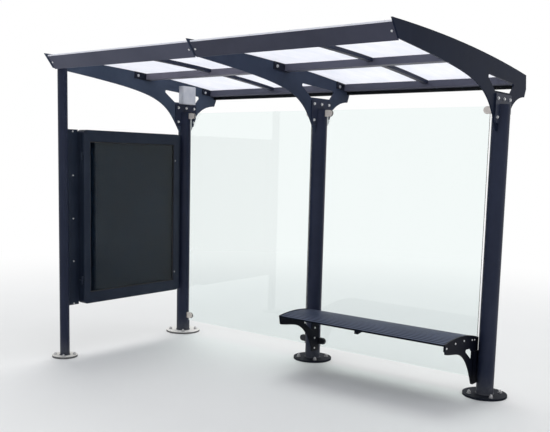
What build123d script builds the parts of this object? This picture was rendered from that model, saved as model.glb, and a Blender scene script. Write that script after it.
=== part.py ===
import math
import os
from build123d import *

os.makedirs("parts", exist_ok=True)

# Driving sizes in millimetres. X runs along the shelter, -Y is the open street side, Z is up.
BAY = 1500.0            # distance between the rear posts
POST_R = 60.5           # rear post, outer radius
POST_WALL = 4.0
POST_TOP = 2030.0
FRONT_R = 38.0          # front post, outer radius
FRONT_WALL = 3.6
FRONT_Y = -1350.0
FLANGE_R = 155.0
FLANGE_T = 15.0
ANCHOR_R = 115.0        # bolt circle radius of the rear flanges
ANCHOR_HOLE_R = 9.0
FRONT_FLANGE_R = 100.0
FRONT_ANCHOR_R = 75.0
FRONT_HOLE_R = 7.0
PLATE = 10.0            # thickness of the cut plates
HALF = PLATE / 2
RAFTER_X = {"left": -BAY, "middle": 0.0, "right": BAY}
BAY_X = {"left": -BAY, "right": 0.0}

# Roof line: one shallow arc through three points of the rafters' top edge.
TIP_TOP = (-1515.0, 2380.0)
TIP_LOW = (-1436.0, 2280.0)
TOP_MID = (-560.0, 2352.0)
TOP_REAR = (396.0, 2262.0)
SHEET_T = 10.0          # roof sheet thickness
SHEET_DROP = 20.0       # rafter top edge to the sheet's underside


def circle_through(a, b, c):
    d = 2 * (a[0] * (b[1] - c[1]) + b[0] * (c[1] - a[1]) + c[0] * (a[1] - b[1]))
    sa, sb, sc = (p[0] ** 2 + p[1] ** 2 for p in (a, b, c))
    y = (sa * (b[1] - c[1]) + sb * (c[1] - a[1]) + sc * (a[1] - b[1])) / d
    z = (sa * (c[0] - b[0]) + sb * (a[0] - c[0]) + sc * (b[0] - a[0])) / d
    return y, z, math.hypot(a[0] - y, a[1] - z)


ARC_Y, ARC_Z, ARC_R = circle_through(TIP_TOP, TOP_MID, TOP_REAR)
SHEET_R = ARC_R - SHEET_DROP


def on_arc(y, radius):
    return (y, ARC_Z + math.sqrt(radius ** 2 - (y - ARC_Y) ** 2))


def side_plane(x):
    return Plane(origin=(x, 0, 0), x_dir=(0, 1, 0), z_dir=(1, 0, 0))


# The row's origin is the bottom centre of the whole, so the drawing moves along Y as it is saved.
REAR_MOST = 410.0       # the rafters' rear corner
SHIFT_Y = -(TIP_TOP[0] + REAR_MOST) / 2


def keep(piece, name):
    moved = Pos(0, SHIFT_Y, 0) * piece.part
    moved.label = name
    export_step(moved, "parts/" + name + ".step")


def band(point, y0, y1, low, high):
    # Closed face between two concentric arcs, where point(y, level) gives a point of an arc.
    ym = (y0 + y1) / 2
    with BuildSketch() as face:
        with BuildLine():
            ThreePointArc(point(y0, high), point(ym, high), point(y1, high))
            Line(point(y1, high), point(y1, low))
            ThreePointArc(point(y1, low), point(ym, low), point(y0, low))
            Line(point(y0, low), point(y0, high))
        make_face()
    return face.sketch


# Rear posts: round tubes closed by a cap, standing on the base flanges.
for side, x in RAFTER_X.items():
    with BuildPart() as post:
        with Locations((x, 0, FLANGE_T)):
            Cylinder(POST_R, POST_TOP - FLANGE_T, align=(Align.CENTER, Align.CENTER, Align.MIN))
            Cylinder(POST_R - POST_WALL, POST_TOP - FLANGE_T - 5,
                     align=(Align.CENTER, Align.CENTER, Align.MIN), mode=Mode.SUBTRACT)
    keep(post, "rear_post_" + side)

# Base flanges: round plates with four anchor holes each.
for side, x in RAFTER_X.items():
    with BuildPart() as flange:
        with BuildSketch(Plane.XY):
            with Locations((x, 0)):
                Circle(FLANGE_R)
                with PolarLocations(ANCHOR_R, 4, start_angle=45):
                    Circle(ANCHOR_HOLE_R, mode=Mode.SUBTRACT)
        extrude(amount=FLANGE_T)
    keep(flange, "base_flange_" + side)

with BuildPart() as base_flange_front:
    with BuildSketch(Plane.XY):
        with Locations((-BAY, FRONT_Y)):
            Circle(FRONT_FLANGE_R)
            with PolarLocations(FRONT_ANCHOR_R, 4, start_angle=45):
                Circle(FRONT_HOLE_R, mode=Mode.SUBTRACT)
    extrude(amount=FLANGE_T)
keep(base_flange_front, "base_flange_front")


# Rafters: cut plates with a tapering arm, a rear nose and two pointed legs astride the post.
LEG_TIP_Z, LEG_TOP_Z = 1848.0, 2029.0
LEG_LAP = 6.0           # how far the legs reach past the post's flanks


def on_leg(y, share):
    return (y, LEG_TIP_Z + share * (LEG_TOP_Z - LEG_TIP_Z))


ARM_LOW = [TIP_LOW, (-1073, 2245), (-897, 2225), (-526, 2167), (-352, 2115), on_leg(-212, 1.0),
           on_leg(-154, 0.65), on_leg(-106, 0.28), on_leg(-POST_R - 11, 0)]
NOSE_LOW = [(384, 2106), (300, 2094), (225, 2066), on_leg(166, 0.97), on_leg(126, 0.66),
            on_leg(97, 0.29), on_leg(POST_R + 11, 0)]
REAR_CORNER = (REAR_MOST, 2165.0)
HOLE = [(-292, 2214), (195, 2180), (128, 2112), (-138, 2112)]


with BuildSketch() as rafter_outline:
    with BuildLine():
        Line(TIP_LOW, TIP_TOP)
        ThreePointArc(TIP_TOP, TOP_MID, TOP_REAR)
        Line(TOP_REAR, REAR_CORNER)
        Line(REAR_CORNER, NOSE_LOW[0])
        Spline(*NOSE_LOW)
        Polyline(NOSE_LOW[-1], (POST_R - LEG_LAP, LEG_TIP_Z), (POST_R - LEG_LAP, POST_TOP),
                 (-POST_R + LEG_LAP, POST_TOP), (-POST_R + LEG_LAP, LEG_TIP_Z), ARM_LOW[-1])
        Spline(*reversed(ARM_LOW))
    make_face()

for side, x in RAFTER_X.items():
    with BuildPart() as rafter:
        with BuildSketch(side_plane(x - HALF)):
            add(rafter_outline.sketch)
            with BuildSketch(mode=Mode.PRIVATE) as hole:
                Polygon(*HOLE, align=None)
                fillet(hole.vertices(), 14)
            add(hole.sketch, mode=Mode.SUBTRACT)
        extrude(amount=PLATE)
        with Locations((x, 0, POST_TOP)):
            Cylinder(POST_R, POST_TOP, align=(Align.CENTER, Align.CENTER, Align.MAX), mode=Mode.SUBTRACT)
    keep(rafter, "rafter_" + side)

# Head cleats: a tee of plate bolted to the rafter within its outline, with fins welded to the post.
CLEAT_T = 10.0
CLEAT_L, CLEAT_FIN, CLEAT_LOW, CLEAT_TOP = 260.0, 80.0, 1902.0, 2098.0
for side, x in RAFTER_X.items():
    with BuildPart() as cleat:
        with BuildSketch(side_plane(x + HALF)) as tee:
            with Locations((0, (CLEAT_TOP + POST_TOP) / 2)):
                Rectangle(CLEAT_L, CLEAT_TOP - POST_TOP)
            for s in (-1, 1):
                with Locations((s * (CLEAT_L - CLEAT_FIN) / 2, (CLEAT_TOP + CLEAT_LOW) / 2)):
                    Rectangle(CLEAT_FIN, CLEAT_TOP - CLEAT_LOW)
            fillet(tee.vertices().filter_by(lambda v: abs(v.Y) > CLEAT_L / 2 - 5), 10)
            add(rafter_outline.sketch, mode=Mode.INTERSECT)
        extrude(amount=CLEAT_T)
        with Locations((x, 0, POST_TOP)):
            Cylinder(POST_R, POST_TOP, align=(Align.CENTER, Align.CENTER, Align.MAX), mode=Mode.SUBTRACT)
    keep(cleat, "head_cleat_" + side)

# Front post: a thinner tube, capped, whose head is slotted to straddle the left rafter's arm.
HEAD_CHEEK = 12.0       # how far the cheeks rise beside the plate
HEAD_CAP = 28.0         # solid cap below the plate's edge
arm_chord = rafter_outline.sketch.intersect(Edge.make_line((FRONT_Y, 0), (FRONT_Y, TIP_TOP[1] + TIP_LOW[1])))
ARM_FRONT_Z = min(piece.bounding_box().min.Y for piece in arm_chord)
with BuildPart() as front_post:
    with Locations((-BAY, FRONT_Y, FLANGE_T)):
        Cylinder(FRONT_R, ARM_FRONT_Z + HEAD_CHEEK - FLANGE_T, align=(Align.CENTER, Align.CENTER, Align.MIN))
        Cylinder(FRONT_R - FRONT_WALL, ARM_FRONT_Z - HEAD_CAP - FLANGE_T,
                 align=(Align.CENTER, Align.CENTER, Align.MIN), mode=Mode.SUBTRACT)
    with BuildSketch(side_plane(-BAY - HALF)):
        add(rafter_outline.sketch)
    extrude(amount=PLATE, mode=Mode.SUBTRACT)
keep(front_post, "front_post")

# Fascia: one inclined folded sheet per bay, on cleats that are welded beside the rafter tips.
tip_len = math.hypot(TIP_TOP[0] - TIP_LOW[0], TIP_TOP[1] - TIP_LOW[1])
TIP_U = ((TIP_TOP[0] - TIP_LOW[0]) / tip_len, (TIP_TOP[1] - TIP_LOW[1]) / tip_len)
TIP_N = (-TIP_U[1], TIP_U[0])       # out of the tip's edge, forward and down
FASCIA_T = 4.0
FASCIA_SINK = 6.0       # how far the rafter tip stands out in front of the sheet
FASCIA_LIP = 40.0
FASCIA_CLEAT_T = 6.0
FASCIA_CLEAT_W = 40.0
FASCIA_CLEAT_ENDS = (16.0, 80.0)        # along the rafter's tip edge


def tip_point(along, out):
    return (TIP_LOW[0] + TIP_U[0] * along + TIP_N[0] * out, TIP_LOW[1] + TIP_U[1] * along + TIP_N[1] * out)


def height_on_tip(z, out):
    return tip_point((z - TIP_LOW[1] - TIP_N[1] * out) / TIP_U[1], out)


FASCIA_LOW_Z = 2272.0
LIP_Z = on_arc(-1452.0, SHEET_R)[1] - 0.6
fascia_line = [
    height_on_tip(FASCIA_LOW_Z, -FASCIA_SINK),
    height_on_tip(LIP_Z, -FASCIA_SINK),
    (height_on_tip(LIP_Z, -FASCIA_SINK)[0] + FASCIA_LIP, LIP_Z),
    (height_on_tip(LIP_Z, -FASCIA_SINK)[0] + FASCIA_LIP, LIP_Z - FASCIA_T),
    height_on_tip(LIP_Z - FASCIA_T, -FASCIA_SINK - FASCIA_T),
    height_on_tip(FASCIA_LOW_Z, -FASCIA_SINK - FASCIA_T),
]
for side, x in BAY_X.items():
    with BuildPart() as fascia:
        with BuildSketch(side_plane(x + HALF + 1)):
            Polygon(*fascia_line, align=None)
        extrude(amount=BAY - PLATE - 2)
    keep(fascia, "fascia_" + side)

with BuildPart() as fascia_cleats:
    out = -FASCIA_SINK - FASCIA_T
    a, b = FASCIA_CLEAT_ENDS
    for start in (-BAY + HALF, HALF, -HALF - FASCIA_CLEAT_W, BAY - HALF - FASCIA_CLEAT_W):
        with BuildSketch(side_plane(start)):
            Polygon(tip_point(a, out), tip_point(b, out), tip_point(b, out - FASCIA_CLEAT_T),
                    tip_point(a, out - FASCIA_CLEAT_T), align=None)
        extrude(amount=FASCIA_CLEAT_W)
keep(fascia_cleats, "fascia_cleats")


# Purlins: rectangular tubes with an end plate bolted to each rafter.
PURLIN_WALL = 3.0
END_T = 8.0


def purlin(name, y_front, width, height, plate_front, plate_low):
    y_mid = y_front + width / 2
    top = SHEET_R - (width / 2) ** 2 / (2 * SHEET_R) - 0.05
    lean = math.atan2(ARC_Y - y_mid, math.sqrt(top ** 2 - (y_mid - ARC_Y) ** 2))
    for side, x in BAY_X.items():
        with BuildPart() as bar:
            with BuildSketch(side_plane(x + HALF + END_T)):
                with Locations(Location(on_arc(y_mid, top - height / 2), math.degrees(lean))):
                    Rectangle(width, height)
                    Rectangle(width - 2 * PURLIN_WALL, height - 2 * PURLIN_WALL, mode=Mode.SUBTRACT)
            extrude(amount=BAY - PLATE - 2 * END_T)
            for start in (x + HALF, x + BAY - HALF - END_T):
                with BuildSketch(side_plane(start)):
                    with BuildLine():
                        a = on_arc(plate_front, top)
                        b = on_arc(y_front + width, top)
                        Polyline(a, on_arc((plate_front + y_front + width) / 2, top), b,
                                 (b[0], b[1] - plate_low), (a[0], a[1] - plate_low), close=True)
                    make_face()
                extrude(amount=END_T)
        keep(bar, name + "_" + side)
    return top


MID_PURLIN_Y, MID_PURLIN_W, MID_PURLIN_H = -490.0, 60.0, 50.0
REAR_PURLIN_Y, REAR_PURLIN_W, REAR_PURLIN_H = 320.0, 50.0, 52.0
MID_PLATE_Y, REAR_PLATE_Y, END_PLATE_H = -615.0, 215.0, 56.0
purlin("mid_purlin", MID_PURLIN_Y, MID_PURLIN_W, MID_PURLIN_H, MID_PLATE_Y, END_PLATE_H)
purlin("rear_purlin", REAR_PURLIN_Y, REAR_PURLIN_W, REAR_PURLIN_H, REAR_PLATE_Y, END_PLATE_H)

# Roof bars: a shallow bar under the seam in the middle of each bay, cut between the purlins.
BAR_W, BAR_H = 40.0, 25.0
for side, x in BAY_X.items():
    with BuildPart() as roof_bar:
        for y0, y1 in ((fascia_line[2][0] + 1, MID_PURLIN_Y - 2), (MID_PURLIN_Y + MID_PURLIN_W + 2, REAR_PURLIN_Y - 2)):
            with BuildSketch(side_plane(x + BAY / 2 - BAR_W / 2)):
                add(band(on_arc, y0, y1, SHEET_R - BAR_H, SHEET_R))
            extrude(amount=BAR_W)
    keep(roof_bar, "roof_bar_" + side)

# Roof sheets: two rows and two columns of opal sheet in each bay, bent to the roof arc.
SHEET_GAP = 3.0
SHEET_FRONT, SHEET_REAR = -1489.0, 398.0
row_seam = MID_PURLIN_Y + MID_PURLIN_W / 2
for side, x in BAY_X.items():
    for row, y0, y1 in (("front", SHEET_FRONT, row_seam - SHEET_GAP / 2), ("rear", row_seam + SHEET_GAP / 2, SHEET_REAR)):
        with BuildPart() as sheets:
            for start, width in ((x + HALF + SHEET_GAP, BAY / 2 - HALF - 1.5 * SHEET_GAP),
                                 (x + BAY / 2 + SHEET_GAP / 2, BAY / 2 - HALF - 1.5 * SHEET_GAP)):
                with BuildSketch(side_plane(start)):
                    add(band(on_arc, y0, y1, SHEET_R, SHEET_R + SHEET_T))
                extrude(amount=width)
        keep(sheets, "roof_sheets_" + side + "_" + row)

# Rear gutter: an open channel between the rafter noses, behind the rear purlin.
GUTTER_Y0, GUTTER_Y1, GUTTER_LOW, GUTTER_T = 374.0, 404.0, 2168.0, 3.0
GUTTER_FRONT_Z, GUTTER_REAR_Z, GUTTER_FLARE = 2240.0, 2200.0, 3.0
for side, x in BAY_X.items():
    with BuildPart() as gutter:
        with BuildSketch(side_plane(x + HALF)):
            foot = GUTTER_Y1 - GUTTER_FLARE
            Polygon((GUTTER_Y0, GUTTER_FRONT_Z), (GUTTER_Y0, GUTTER_LOW), (foot, GUTTER_LOW),
                    (GUTTER_Y1, GUTTER_REAR_Z), (GUTTER_Y1 - GUTTER_T, GUTTER_REAR_Z),
                    (foot - GUTTER_T, GUTTER_LOW + GUTTER_T), (GUTTER_Y0 + GUTTER_T, GUTTER_LOW + GUTTER_T),
                    (GUTTER_Y0 + GUTTER_T, GUTTER_FRONT_Z), align=None)
        extrude(amount=BAY - PLATE)
    keep(gutter, "rear_gutter_" + side)

# Rear glass: one frameless pane per bay, gripped at its corners by D-shaped clamps on the posts.
GLASS_T, GLASS_LOW, GLASS_TOP = 10.0, 115.0, 2020.0
GLASS_GAP = 18.0        # pane edge to post
CLAMP_L, CLAMP_H, CLAMP_T = 63.0, 50.0, 26.0
CLAMP_UP, CLAMP_DOWN = 45.0, 25.0       # clamp centres above the pane's foot and below its top
CLAMP_SINK = 3.0        # the clamp's back is coped to the round post
pane_size = (BAY - 2 * POST_R - 2 * GLASS_GAP, GLASS_TOP - GLASS_LOW)
for side, x in BAY_X.items():
    with BuildPart() as pane:
        with BuildSketch(Plane.XZ.offset(-GLASS_T / 2)):
            with Locations((x + BAY / 2, (GLASS_LOW + GLASS_TOP) / 2)):
                Rectangle(*pane_size)
        extrude(amount=GLASS_T)
    keep(pane, "rear_glass_" + side)
    with BuildPart() as clamps:
        nose = CLAMP_L + CLAMP_SINK - CLAMP_H / 2
        for z in (GLASS_LOW + CLAMP_UP, GLASS_TOP - CLAMP_DOWN):
            for post_x, s in ((x, 1), (x + BAY, -1)):
                start = post_x + s * (POST_R - CLAMP_SINK)
                with BuildSketch(Plane.XZ.offset(-CLAMP_T / 2)):
                    with Locations((start + s * nose / 2, z)):
                        Rectangle(nose, CLAMP_H)
                    with Locations((start + s * nose, z)):
                        Circle(CLAMP_H / 2)
                extrude(amount=CLAMP_T)
        add(pane.part, mode=Mode.SUBTRACT)
        with Locations((x, 0, 0), (x + BAY, 0, 0)):
            Cylinder(POST_R, POST_TOP, align=(Align.CENTER, Align.CENTER, Align.MIN), mode=Mode.SUBTRACT)
    keep(clamps, "glass_clamps_" + side)

# Display case between the front post and the left rear post, its back on the posts' centre plane.
CASE_Y0, CASE_Y1, CASE_Z0, CASE_Z1 = -1212.0, -151.0, 422.0, 1822.0
CASE_STILE, CASE_RAIL, CASE_CORNER = 64.0, 92.0, 30.0
CASE_WALL, CASE_GAP = 4.0, 5.0
BACK_LIP, FRONT_LIP = 33.0, 25.0        # folded lips of the body
BODY_D, LEAF_D = 50.0, 25.0
CASE_MID = ((CASE_Y0 + CASE_Y1) / 2, (CASE_Z0 + CASE_Z1) / 2)
CASE_W, CASE_H = CASE_Y1 - CASE_Y0, CASE_Z1 - CASE_Z0
LEAF_X = -BAY + BODY_D + CASE_GAP
REBATE, DOOR_GLASS_T, BACK_PANEL_T = 15.0, 5.0, 6.0


def case_ring(inset_y, inset_z, corner=0.0):
    # Rounded outline of the case less an opening that lies inset from it.
    with BuildSketch() as ring:
        with Locations(CASE_MID):
            RectangleRounded(CASE_W, CASE_H, CASE_CORNER)
            if corner:
                RectangleRounded(CASE_W - 2 * inset_y, CASE_H - 2 * inset_z, corner, mode=Mode.SUBTRACT)
            else:
                Rectangle(CASE_W - 2 * inset_y, CASE_H - 2 * inset_z, mode=Mode.SUBTRACT)
    return ring.sketch


with BuildPart() as case_body:
    with BuildSketch(side_plane(-BAY)):
        add(case_ring(BACK_LIP, BACK_LIP))
    extrude(amount=CASE_WALL)
    with BuildSketch(side_plane(-BAY + CASE_WALL)):
        add(case_ring(CASE_WALL, CASE_WALL, CASE_CORNER - CASE_WALL))
    extrude(amount=BODY_D - CASE_WALL)
    with BuildSketch(side_plane(-BAY + BODY_D - CASE_WALL)):
        add(case_ring(FRONT_LIP, FRONT_LIP))
    extrude(amount=CASE_WALL)
keep(case_body, "case_body")

# Dark opaque panel behind the posters, held by the body's back lip.
with BuildPart() as case_back_panel:
    with BuildSketch(side_plane(-BAY + CASE_WALL)):
        with Locations(CASE_MID):
            Rectangle(CASE_W - BACK_LIP, CASE_H - BACK_LIP)
    extrude(amount=BACK_PANEL_T)
keep(case_back_panel, "case_back_panel")

# Mounting strips, one welded to each post and run up to the case's side.
STRIP_T, STRIP_Z0 = 6.0, 414.0
with BuildPart() as case_strips:
    with BuildSketch(side_plane(-BAY)):
        with Locations(((FRONT_Y + CASE_Y0) / 2, (STRIP_Z0 + CASE_Z1) / 2)):
            Rectangle(CASE_Y0 - FRONT_Y, CASE_Z1 - STRIP_Z0)
        with Locations((CASE_Y1 / 2, (STRIP_Z0 + CASE_Z1) / 2)):
            Rectangle(-CASE_Y1, CASE_Z1 - STRIP_Z0)
    extrude(amount=STRIP_T)
    with Locations((-BAY, FRONT_Y, 0)):
        Cylinder(FRONT_R, POST_TOP, align=(Align.CENTER, Align.CENTER, Align.MIN), mode=Mode.SUBTRACT)
    with Locations((-BAY, 0, 0)):
        Cylinder(POST_R, POST_TOP, align=(Align.CENTER, Align.CENTER, Align.MIN), mode=Mode.SUBTRACT)
keep(case_strips, "case_strips")

# Case door: a glazed leaf with two recessed lock slots, hung on lift-off hinges at its front stile.
LEAF_LIP = 10.0         # leaf face to glass
LOCK_IN, LOCK_Z = 47.0, (590.0, 1590.0)
LOCK_L, LOCK_W, LOCK_D = 60.0, 12.0, 4.0
door_glass_size = (CASE_W - 2 * CASE_STILE + 2 * REBATE, CASE_H - 2 * CASE_RAIL + 2 * REBATE)
with BuildPart() as case_door_frame:
    with BuildSketch(side_plane(LEAF_X)):
        add(case_ring(CASE_STILE, CASE_RAIL))
    extrude(amount=LEAF_D)
    with BuildSketch(side_plane(LEAF_X)):
        with Locations(CASE_MID):
            Rectangle(*door_glass_size)
    extrude(amount=LEAF_D - LEAF_LIP, mode=Mode.SUBTRACT)
    chamfer(case_door_frame.faces().sort_by(Axis.X)[-1].edges(), 2)
    with BuildSketch(side_plane(LEAF_X + LEAF_D)):
        with Locations([(CASE_Y1 - LOCK_IN, z) for z in LOCK_Z]):
            SlotOverall(LOCK_L, LOCK_W, rotation=90)
    extrude(amount=-LOCK_D, mode=Mode.SUBTRACT)
keep(case_door_frame, "case_door_frame")

with BuildPart() as case_door_glass:
    with BuildSketch(side_plane(LEAF_X + LEAF_D - LEAF_LIP - DOOR_GLASS_T)):
        with Locations(CASE_MID):
            Rectangle(*door_glass_size)
    extrude(amount=DOOR_GLASS_T)
keep(case_door_glass, "case_door_glass")

HINGE_BACK, HINGE_OUT = 13.0, 12.5      # pin's axis from the leaf's back face and from its edge
HINGE_X, HINGE_Y = LEAF_X + HINGE_BACK, CASE_Y0 - HINGE_OUT
HINGE_Z = (615.0, 1615.0)
KNUCKLE_R, KNUCKLE_H, KNUCKLE_GAP = 7.0, 30.0, 1.0
PIN_R, PIN_FIT, PIN_H = 3.5, 0.05, 27.0
BLOCK_X, BLOCK_L, BLOCK_OUT, ARM_T = -BAY + 20.0, 25.0, 10.0, 4.0
with BuildPart() as case_hinges_fixed:
    for z in HINGE_Z:
        with Locations((HINGE_X, HINGE_Y, z)):
            Cylinder(KNUCKLE_R, KNUCKLE_H, align=(Align.CENTER, Align.CENTER, Align.MAX))
            Cylinder(PIN_R, PIN_H, align=(Align.CENTER, Align.CENTER, Align.MIN))
        with Locations((BLOCK_X, CASE_Y0, z - KNUCKLE_H)):
            Box(BLOCK_L, BLOCK_OUT, KNUCKLE_H, align=(Align.MIN, Align.MAX, Align.MIN))
        with Locations((BLOCK_X + BLOCK_L - 1, CASE_Y0 - BLOCK_OUT, z - KNUCKLE_H)):
            Box(HINGE_X - BLOCK_X - BLOCK_L + 1, ARM_T, KNUCKLE_H, align=(Align.MIN, Align.MIN, Align.MIN))
keep(case_hinges_fixed, "case_hinge_pins")

with BuildPart() as case_hinges_moving:
    for z in HINGE_Z:
        with Locations((HINGE_X, HINGE_Y, z + KNUCKLE_GAP)):
            Cylinder(KNUCKLE_R, KNUCKLE_H, align=(Align.CENTER, Align.CENTER, Align.MIN))
        with Locations((HINGE_X, CASE_Y0, z + KNUCKLE_GAP)):
            Box(2 * ARM_T, HINGE_OUT, KNUCKLE_H, align=(Align.CENTER, Align.MAX, Align.MIN))
        with Locations((HINGE_X, HINGE_Y, z + KNUCKLE_GAP)):
            Cylinder(PIN_R + PIN_FIT, PIN_H + KNUCKLE_GAP, align=(Align.CENTER, Align.CENTER, Align.MIN),
                     mode=Mode.SUBTRACT)
keep(case_hinges_moving, "case_hinge_leaves")

# Bench between the middle and right posts: arched end plates, post cleats, and slats tied underneath.
BRACKET_TOP_C, BRACKET_TOP_R = (-345.0, 463.0), 1150.0
BENCH_NOSE, BENCH_BACK = -547.0, -18.0
SEAT_DROP = 3.0         # slats lie just below the end plates' top edge


def bench_top(y, drop=0.0):
    r = BRACKET_TOP_R - drop
    return (y, BRACKET_TOP_C[1] - BRACKET_TOP_R + math.sqrt(r ** 2 - (y - BRACKET_TOP_C[0]) ** 2))


LEG_LOW = 88.0
BENCH_LOW = [(-532, 376), (-404, 355), (-290, 326), (-206, 266), (-138, 172), (-97, LEG_LOW)]
BENCH_HOLE = [(-246, 358), (-148, 352), (-115, 326), (-115, 262)]
for name, plate_x, cleat_x in (("left", POST_R, POST_R - PLATE), ("right", BAY - POST_R - PLATE, BAY - POST_R)):
    with BuildPart() as bracket:
        with BuildSketch(side_plane(plate_x)):
            with BuildLine():
                nose = bench_top(BENCH_NOSE)
                back = bench_top(BENCH_BACK)
                ThreePointArc(nose, bench_top(BRACKET_TOP_C[0]), back)
                Polyline(back, (BENCH_BACK, LEG_LOW), BENCH_LOW[-1])
                Spline(*reversed(BENCH_LOW))
                Line(BENCH_LOW[0], nose)
            make_face()
            with BuildSketch(mode=Mode.PRIVATE) as window:
                Polygon(*BENCH_HOLE, align=None)
                fillet(window.vertices(), 10)
            add(window.sketch, mode=Mode.SUBTRACT)
        extrude(amount=PLATE)
    keep(bracket, "bench_bracket_" + name)

BENCH_CLEAT_W, BENCH_CLEAT_TOP = 72.0, 322.0
with BuildPart() as bench_cleats:
    for post_x, start in ((0.0, POST_R - PLATE), (BAY, BAY - POST_R)):
        with BuildSketch(side_plane(start)):
            with Locations((-100, (LEG_LOW + BENCH_CLEAT_TOP) / 2)):
                Rectangle(BENCH_CLEAT_W, BENCH_CLEAT_TOP - LEG_LOW, align=(Align.MIN, Align.CENTER))
        extrude(amount=PLATE)
        with Locations((post_x, 0, 0)):
            Cylinder(POST_R, POST_TOP, align=(Align.CENTER, Align.CENTER, Align.MIN), mode=Mode.SUBTRACT)
keep(bench_cleats, "bench_cleats")

SLATS, SLAT_GAP, SLAT_T = 18, 5.5, 12.0
pitch = (BENCH_BACK - BENCH_NOSE - 4) / SLATS
BATTEN_W, BATTEN_H, BATTEN_IN = 30.0, 22.0, 7.0     # cross bar that ties the slats in mid-span
END_BAR_W, END_BAR_H = 5.0, 35.0        # bars under the slats' ends, screwed to the end plates
SLAT_X0, SLAT_X1 = POST_R + PLATE, BAY - POST_R - PLATE
with BuildPart() as bench_slats:
    for i in range(SLATS):
        y0 = BENCH_NOSE + 4 + i * pitch + SLAT_GAP / 2
        y1 = y0 + pitch - SLAT_GAP
        with BuildSketch(side_plane(SLAT_X0)):
            add(band(bench_top, y0, y1, SEAT_DROP + SLAT_T, SEAT_DROP))
        extrude(amount=SLAT_X1 - SLAT_X0)
    under = SEAT_DROP + SLAT_T
    for start, width, height in (((SLAT_X0 + SLAT_X1 - BATTEN_W) / 2, BATTEN_W, BATTEN_H),
                                 (SLAT_X0, END_BAR_W, END_BAR_H), (SLAT_X1 - END_BAR_W, END_BAR_W, END_BAR_H)):
        with BuildSketch(side_plane(start)):
            add(band(bench_top, BENCH_NOSE + BATTEN_IN, BENCH_BACK - BATTEN_IN, under + height, under))
        extrude(amount=width)
keep(bench_slats, "bench_slats")

# Junction box on the left rafter's head.
JBOX_L, JBOX_H, JBOX_D, JBOX_Y = 157.0, 158.0, 58.0, -7.5
with BuildPart() as junction_box:
    with BuildSketch(side_plane(-BAY + HALF)):
        with Locations((JBOX_Y, CLEAT_TOP + 1 + JBOX_H / 2)):
            RectangleRounded(JBOX_L, JBOX_H, 8)
    extrude(amount=JBOX_D)
keep(junction_box, "junction_box")
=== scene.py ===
# %% [markdown]
# # Dressing a bus shelter
# The shelter's load-bearing shapes were drawn in a CAD program. Blender receives them as a
# fixed frame: the posts, rafters, sheets and panes are already where they belong, in metres,
# with Z up and the open street side towards -Y.
#
# This lesson adds what makes a frame look real: bolts, nuts, weld beads, gaskets, a moulded
# box, and a finish for every surface. We load the frame first. Nothing that we add may make
# the shelter larger.

# %% Load the frame
import math

import bmesh
import bpy
from mathutils import Matrix, Vector


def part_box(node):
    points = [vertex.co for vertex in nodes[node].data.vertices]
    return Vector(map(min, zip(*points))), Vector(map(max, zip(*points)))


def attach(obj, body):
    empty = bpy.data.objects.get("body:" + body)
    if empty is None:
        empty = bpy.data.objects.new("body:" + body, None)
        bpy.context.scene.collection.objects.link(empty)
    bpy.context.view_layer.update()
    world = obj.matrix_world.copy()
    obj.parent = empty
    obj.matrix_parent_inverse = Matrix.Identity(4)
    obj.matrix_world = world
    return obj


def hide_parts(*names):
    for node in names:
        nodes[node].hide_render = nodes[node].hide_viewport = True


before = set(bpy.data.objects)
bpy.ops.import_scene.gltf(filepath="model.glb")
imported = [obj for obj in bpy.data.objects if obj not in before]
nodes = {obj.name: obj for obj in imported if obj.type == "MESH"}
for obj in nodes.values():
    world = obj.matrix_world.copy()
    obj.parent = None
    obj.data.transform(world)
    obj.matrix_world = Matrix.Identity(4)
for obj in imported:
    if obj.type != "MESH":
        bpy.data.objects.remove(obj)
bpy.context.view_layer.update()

# %% [markdown]
# ## Small habits that keep modelling safe
# Blender's operators act on whatever is selected, and the imported frame arrives selected. So
# every step starts from a clean slate: object mode, nothing selected. In edit mode we pick faces
# by where they are or which way they look, and edges by the way they run, which is what a hand
# does with the mouse.

# %% Helpers for selecting
def start_clean():
    if bpy.context.object and bpy.context.object.mode != "OBJECT":
        bpy.ops.object.mode_set(mode="OBJECT")
    bpy.ops.object.select_all(action="DESELECT")


def take_up(*pieces):
    """Selects these pieces and no others, and makes the first one active."""
    start_clean()
    for piece in pieces:
        piece.select_set(True)
    bpy.context.view_layer.objects.active = pieces[0]


def begin(add, **settings):
    """Adds a primitive with nothing else selected."""
    start_clean()
    add(**settings)
    return bpy.context.object


def edit():
    """Opens the active piece in edit mode, with nothing selected."""
    bpy.ops.object.mode_set(mode="EDIT")
    bpy.ops.mesh.select_mode(type="FACE")
    bpy.ops.mesh.select_all(action="DESELECT")


def pick(piece, wanted):
    """Selects just the faces for which wanted(face) is true."""
    bpy.ops.mesh.select_mode(type="FACE")
    bpy.ops.mesh.select_all(action="DESELECT")
    mesh = bmesh.from_edit_mesh(piece.data)
    for face in mesh.faces:
        if wanted(face):
            face.select_set(True)
    bmesh.update_edit_mesh(piece.data)


def pick_edges(piece, axis, least):
    """Selects the edges that run further than this along an axis: 0 is X, 2 is Z."""
    bpy.ops.mesh.select_mode(type="EDGE")
    mesh = bmesh.from_edit_mesh(piece.data)
    for edge in mesh.edges:
        start, end = (corner.co for corner in edge.verts)
        edge.select_set(abs(start[axis] - end[axis]) > least)
    bmesh.update_edit_mesh(piece.data)


def pick_all():
    bpy.ops.mesh.select_all(action="SELECT")


def facing_up(face):
    return face.normal.z > 0.99


def push(z, x=0.0):
    """Extrudes the selected faces and moves them."""
    bpy.ops.mesh.extrude_region_move(TRANSFORM_OT_translate={"value": (x, 0.0, z)})


def inset(thickness, depth=0):
    """Shrinks the selected face inside its old rim, and can raise it."""
    bpy.ops.mesh.inset(thickness=thickness, depth=depth)


def resize(x, y, z=1):
    bpy.ops.transform.resize(value=(x, y, z))


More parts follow.
